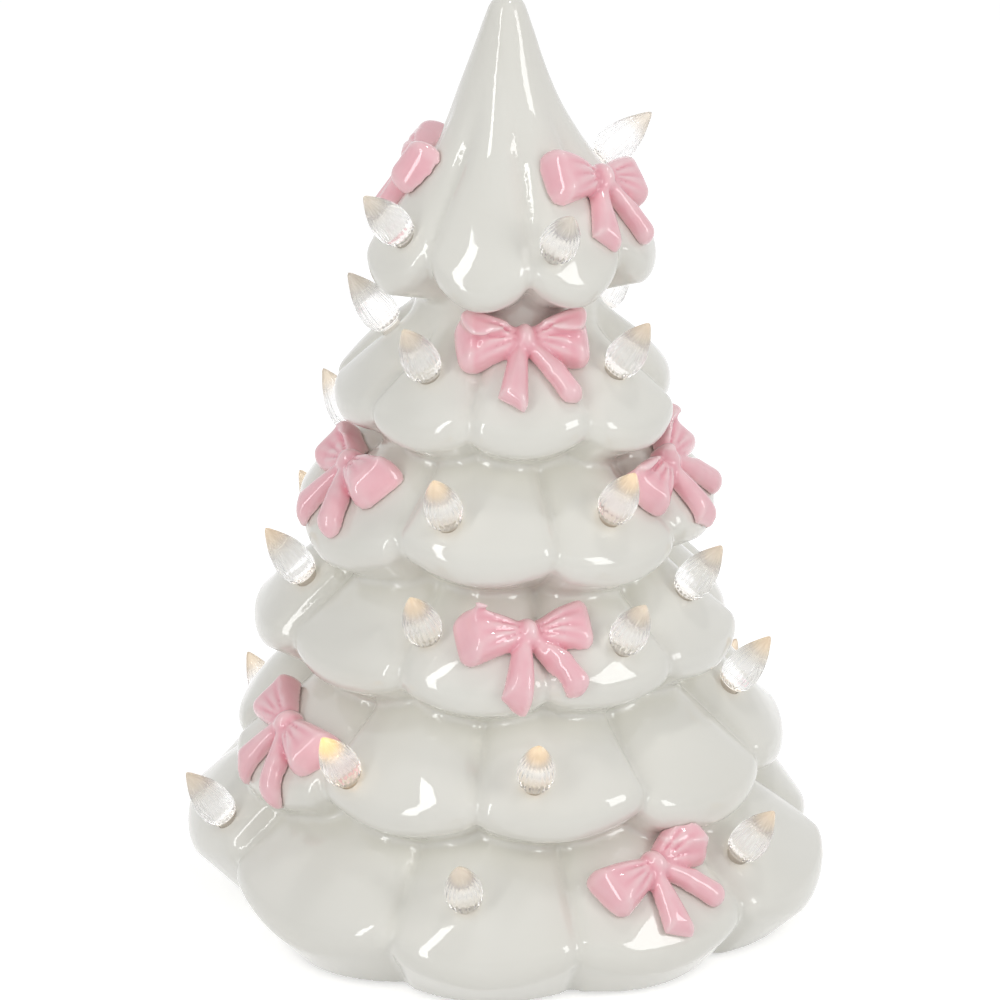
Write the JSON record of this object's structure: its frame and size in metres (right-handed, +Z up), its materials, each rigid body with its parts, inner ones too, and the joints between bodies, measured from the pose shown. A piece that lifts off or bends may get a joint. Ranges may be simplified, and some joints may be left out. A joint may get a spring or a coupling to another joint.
{
  "type": "ceramic christmas tree",
  "caption": "Hollow glazed ceramic tree with stuck-on bows, pull-out light bulbs and a battery lamp base with cover and switch.",
  "frame": {"origin": "middle of the foot, on the surface that the pads stand on", "axes": "+Z up the trunk, -Y to the front"},
  "size_m": [0.1504, 0.1516, 0.2177],
  "materials": {
    "white_glaze": "gloss glaze",
    "pink_glaze": "gloss glaze",
    "clear_bulb": "clear, fluted",
    "white_plastic": "fine texture",
    "silicone": "satin",
    "cell_wrap": "printed wrap, plain",
    "nickel_strip": "bright",
    "switch_can": "bright",
    "black_plastic": "satin",
    "board": "solder mask",
    "zinc_screw": "zinc plated",
    "lamp": "clear dome",
    "wire": "smooth",
    "pad_foam": "soft foam"
  },
  "bodies": {
    "tree": {"tree_shell": "white_glaze", "bow_01": "pink_glaze", "bow_02": "pink_glaze", "bow_03": "pink_glaze", "bow_04": "pink_glaze", "bow_05": "pink_glaze", "bow_06": "pink_glaze", "bow_07": "pink_glaze", "bow_08": "pink_glaze", "bow_09": "pink_glaze", "bow_10": "pink_glaze", "bow_11": "pink_glaze", "bow_12": "pink_glaze", "base_plate": "white_plastic", "sealing_bead": "silicone", "battery_cells": "cell_wrap", "contact_plates": "nickel_strip", "contact_springs": "nickel_strip", "switch_housing": "switch_can", "led_board": "board", "board_screws": "zinc_screw", "leds": "lamp", "wire_battery": "wire", "wire_switch": "wire", "foot_pads": "pad_foam"},
    "battery_cover": {"battery_cover": "white_plastic"},
    "base_switch": {"switch_slider": "black_plastic"},
    "bulb_01": {"bulb_01": "clear_bulb"},
    "bulb_02": {"bulb_02": "clear_bulb"},
    "bulb_03": {"bulb_03": "clear_bulb"},
    "bulb_04": {"bulb_04": "clear_bulb"},
    "bulb_05": {"bulb_05": "clear_bulb"},
    "bulb_06": {"bulb_06": "clear_bulb"},
    "bulb_07": {"bulb_07": "clear_bulb"},
    "bulb_08": {"bulb_08": "clear_bulb"},
    "bulb_09": {"bulb_09": "clear_bulb"},
    "bulb_10": {"bulb_10": "clear_bulb"},
    "bulb_11": {"bulb_11": "clear_bulb"},
    "bulb_12": {"bulb_12": "clear_bulb"},
    "bulb_13": {"bulb_13": "clear_bulb"},
    "bulb_14": {"bulb_14": "clear_bulb"},
    "bulb_15": {"bulb_15": "clear_bulb"},
    "bulb_16": {"bulb_16": "clear_bulb"},
    "bulb_17": {"bulb_17": "clear_bulb"},
    "bulb_18": {"bulb_18": "clear_bulb"},
    "bulb_19": {"bulb_19": "clear_bulb"},
    "bulb_20": {"bulb_20": "clear_bulb"},
    "bulb_21": {"bulb_21": "clear_bulb"},
    "bulb_22": {"bulb_22": "clear_bulb"},
    "bulb_23": {"bulb_23": "clear_bulb"},
    "bulb_24": {"bulb_24": "clear_bulb"},
    "bulb_25": {"bulb_25": "clear_bulb"},
    "bulb_26": {"bulb_26": "clear_bulb"},
    "bulb_27": {"bulb_27": "clear_bulb"},
    "bulb_28": {"bulb_28": "clear_bulb"},
    "bulb_29": {"bulb_29": "clear_bulb"},
    "bulb_30": {"bulb_30": "clear_bulb"},
    "bulb_31": {"bulb_31": "clear_bulb"},
    "bulb_32": {"bulb_32": "clear_bulb"}
  },
  "joints": [
    {"name": "base_switch_slide", "type": "slide", "parent": "tree", "child": "base_switch", "axis": [1, 0, 0], "range_m": [0, 0.0025]},
    {"name": "battery_cover_hinge", "type": "hinge", "parent": "tree", "child": "battery_cover", "pos_m": [0, -0.02125, 0.0029], "axis": [-1, 0, 0], "range_deg": [0, 95]},
    {"name": "bulb_01_pull", "type": "slide", "parent": "tree", "child": "bulb_01", "axis": [0.7405, 0.2992, 0.6018], "range_m": [0, 0.01]},
    {"name": "bulb_02_pull", "type": "slide", "parent": "tree", "child": "bulb_02", "axis": [-0.5321, -0.4465, 0.7193], "range_m": [0, 0.01]},
    {"name": "bulb_03_pull", "type": "slide", "parent": "tree", "child": "bulb_03", "axis": [0.2376, -0.6528, 0.7193], "range_m": [0, 0.01]},
    {"name": "bulb_04_pull", "type": "slide", "parent": "tree", "child": "bulb_04", "axis": [0.1798, 0.671, 0.7193], "range_m": [0, 0.01]},
    {"name": "bulb_05_pull", "type": "slide", "parent": "tree", "child": "bulb_05", "axis": [-0.5821, -0.0818, 0.809], "range_m": [0, 0.01]},
    {"name": "bulb_06_pull", "type": "slide", "parent": "tree", "child": "bulb_06", "axis": [-0.3287, -0.4873, 0.809], "range_m": [0, 0.01]},
    {"name": "bulb_07_pull", "type": "slide", "parent": "tree", "child": "bulb_07", "axis": [0.4503, -0.3778, 0.809], "range_m": [0, 0.01]},
    {"name": "bulb_08_pull", "type": "slide", "parent": "tree", "child": "bulb_08", "axis": [0.4083, 0.4228, 0.809], "range_m": [0, 0.01]},
    {"name": "bulb_09_pull", "type": "slide", "parent": "tree", "child": "bulb_09", "axis": [-0.3371, 0.4815, 0.809], "range_m": [0, 0.01]},
    {"name": "bulb_10_pull", "type": "slide", "parent": "tree", "child": "bulb_10", "axis": [-0.4985, 0.3115, 0.809], "range_m": [0, 0.01]},
    {"name": "bulb_11_pull", "type": "slide", "parent": "tree", "child": "bulb_11", "axis": [-0.1816, -0.559, 0.809], "range_m": [0, 0.01]},
    {"name": "bulb_12_pull", "type": "slide", "parent": "tree", "child": "bulb_12", "axis": [0.3287, -0.4873, 0.809], "range_m": [0, 0.01]},
    {"name": "bulb_13_pull", "type": "slide", "parent": "tree", "child": "bulb_13", "axis": [0.2939, 0.509, 0.809], "range_m": [0, 0.01]},
    {"name": "bulb_14_pull", "type": "slide", "parent": "tree", "child": "bulb_14", "axis": [-0.201, 0.5523, 0.809], "range_m": [0, 0.01]},
    {"name": "bulb_15_pull", "type": "slide", "parent": "tree", "child": "bulb_15", "axis": [0.519, -0.2759, 0.809], "range_m": [0, 0.01]},
    {"name": "bulb_16_pull", "type": "slide", "parent": "tree", "child": "bulb_16", "axis": [-0.565, -0.162, 0.809], "range_m": [0, 0.01]},
    {"name": "bulb_17_pull", "type": "slide", "parent": "tree", "child": "bulb_17", "axis": [-0.2249, -0.543, 0.809], "range_m": [0, 0.01]},
    {"name": "bulb_18_pull", "type": "slide", "parent": "tree", "child": "bulb_18", "axis": [0.3027, -0.5038, 0.809], "range_m": [0, 0.01]},
    {"name": "bulb_19_pull", "type": "slide", "parent": "tree", "child": "bulb_19", "axis": [0.4368, 0.3933, 0.809], "range_m": [0, 0.01]},
    {"name": "bulb_20_pull", "type": "slide", "parent": "tree", "child": "bulb_20", "axis": [-0.509, 0.2939, 0.809], "range_m": [0, 0.01]},
    {"name": "bulb_21_pull", "type": "slide", "parent": "tree", "child": "bulb_21", "axis": [-0.4985, 0.3115, 0.809], "range_m": [0, 0.01]},
    {"name": "bulb_22_pull", "type": "slide", "parent": "tree", "child": "bulb_22", "axis": [0.5749, -0.1222, 0.809], "range_m": [0, 0.01]},
    {"name": "bulb_23_pull", "type": "slide", "parent": "tree", "child": "bulb_23", "axis": [-0.3455, -0.4755, 0.809], "range_m": [0, 0.01]},
    {"name": "bulb_24_pull", "type": "slide", "parent": "tree", "child": "bulb_24", "axis": [0.0614, -0.5846, 0.809], "range_m": [0, 0.01]},
    {"name": "bulb_25_pull", "type": "slide", "parent": "tree", "child": "bulb_25", "axis": [0.201, 0.5523, 0.809], "range_m": [0, 0.01]},
    {"name": "bulb_26_pull", "type": "slide", "parent": "tree", "child": "bulb_26", "axis": [-0.1322, 0.5727, 0.809], "range_m": [0, 0.01]},
    {"name": "bulb_27_pull", "type": "slide", "parent": "tree", "child": "bulb_27", "axis": [-0.545, -0.2202, 0.809], "range_m": [0, 0.01]},
    {"name": "bulb_28_pull", "type": "slide", "parent": "tree", "child": "bulb_28", "axis": [0.4725, -0.3496, 0.809], "range_m": [0, 0.01]},
    {"name": "bulb_29_pull", "type": "slide", "parent": "tree", "child": "bulb_29", "axis": [-0.0818, -0.5821, 0.809], "range_m": [0, 0.01]},
    {"name": "bulb_30_pull", "type": "slide", "parent": "tree", "child": "bulb_30", "axis": [0.4228, 0.4083, 0.809], "range_m": [0, 0.01]},
    {"name": "bulb_31_pull", "type": "slide", "parent": "tree", "child": "bulb_31", "axis": [0.0919, 0.5805, 0.809], "range_m": [0, 0.01]},
    {"name": "bulb_32_pull", "type": "slide", "parent": "tree", "child": "bulb_32", "axis": [-0.4755, 0.3455, 0.809], "range_m": [0, 0.01]}
  ]
}
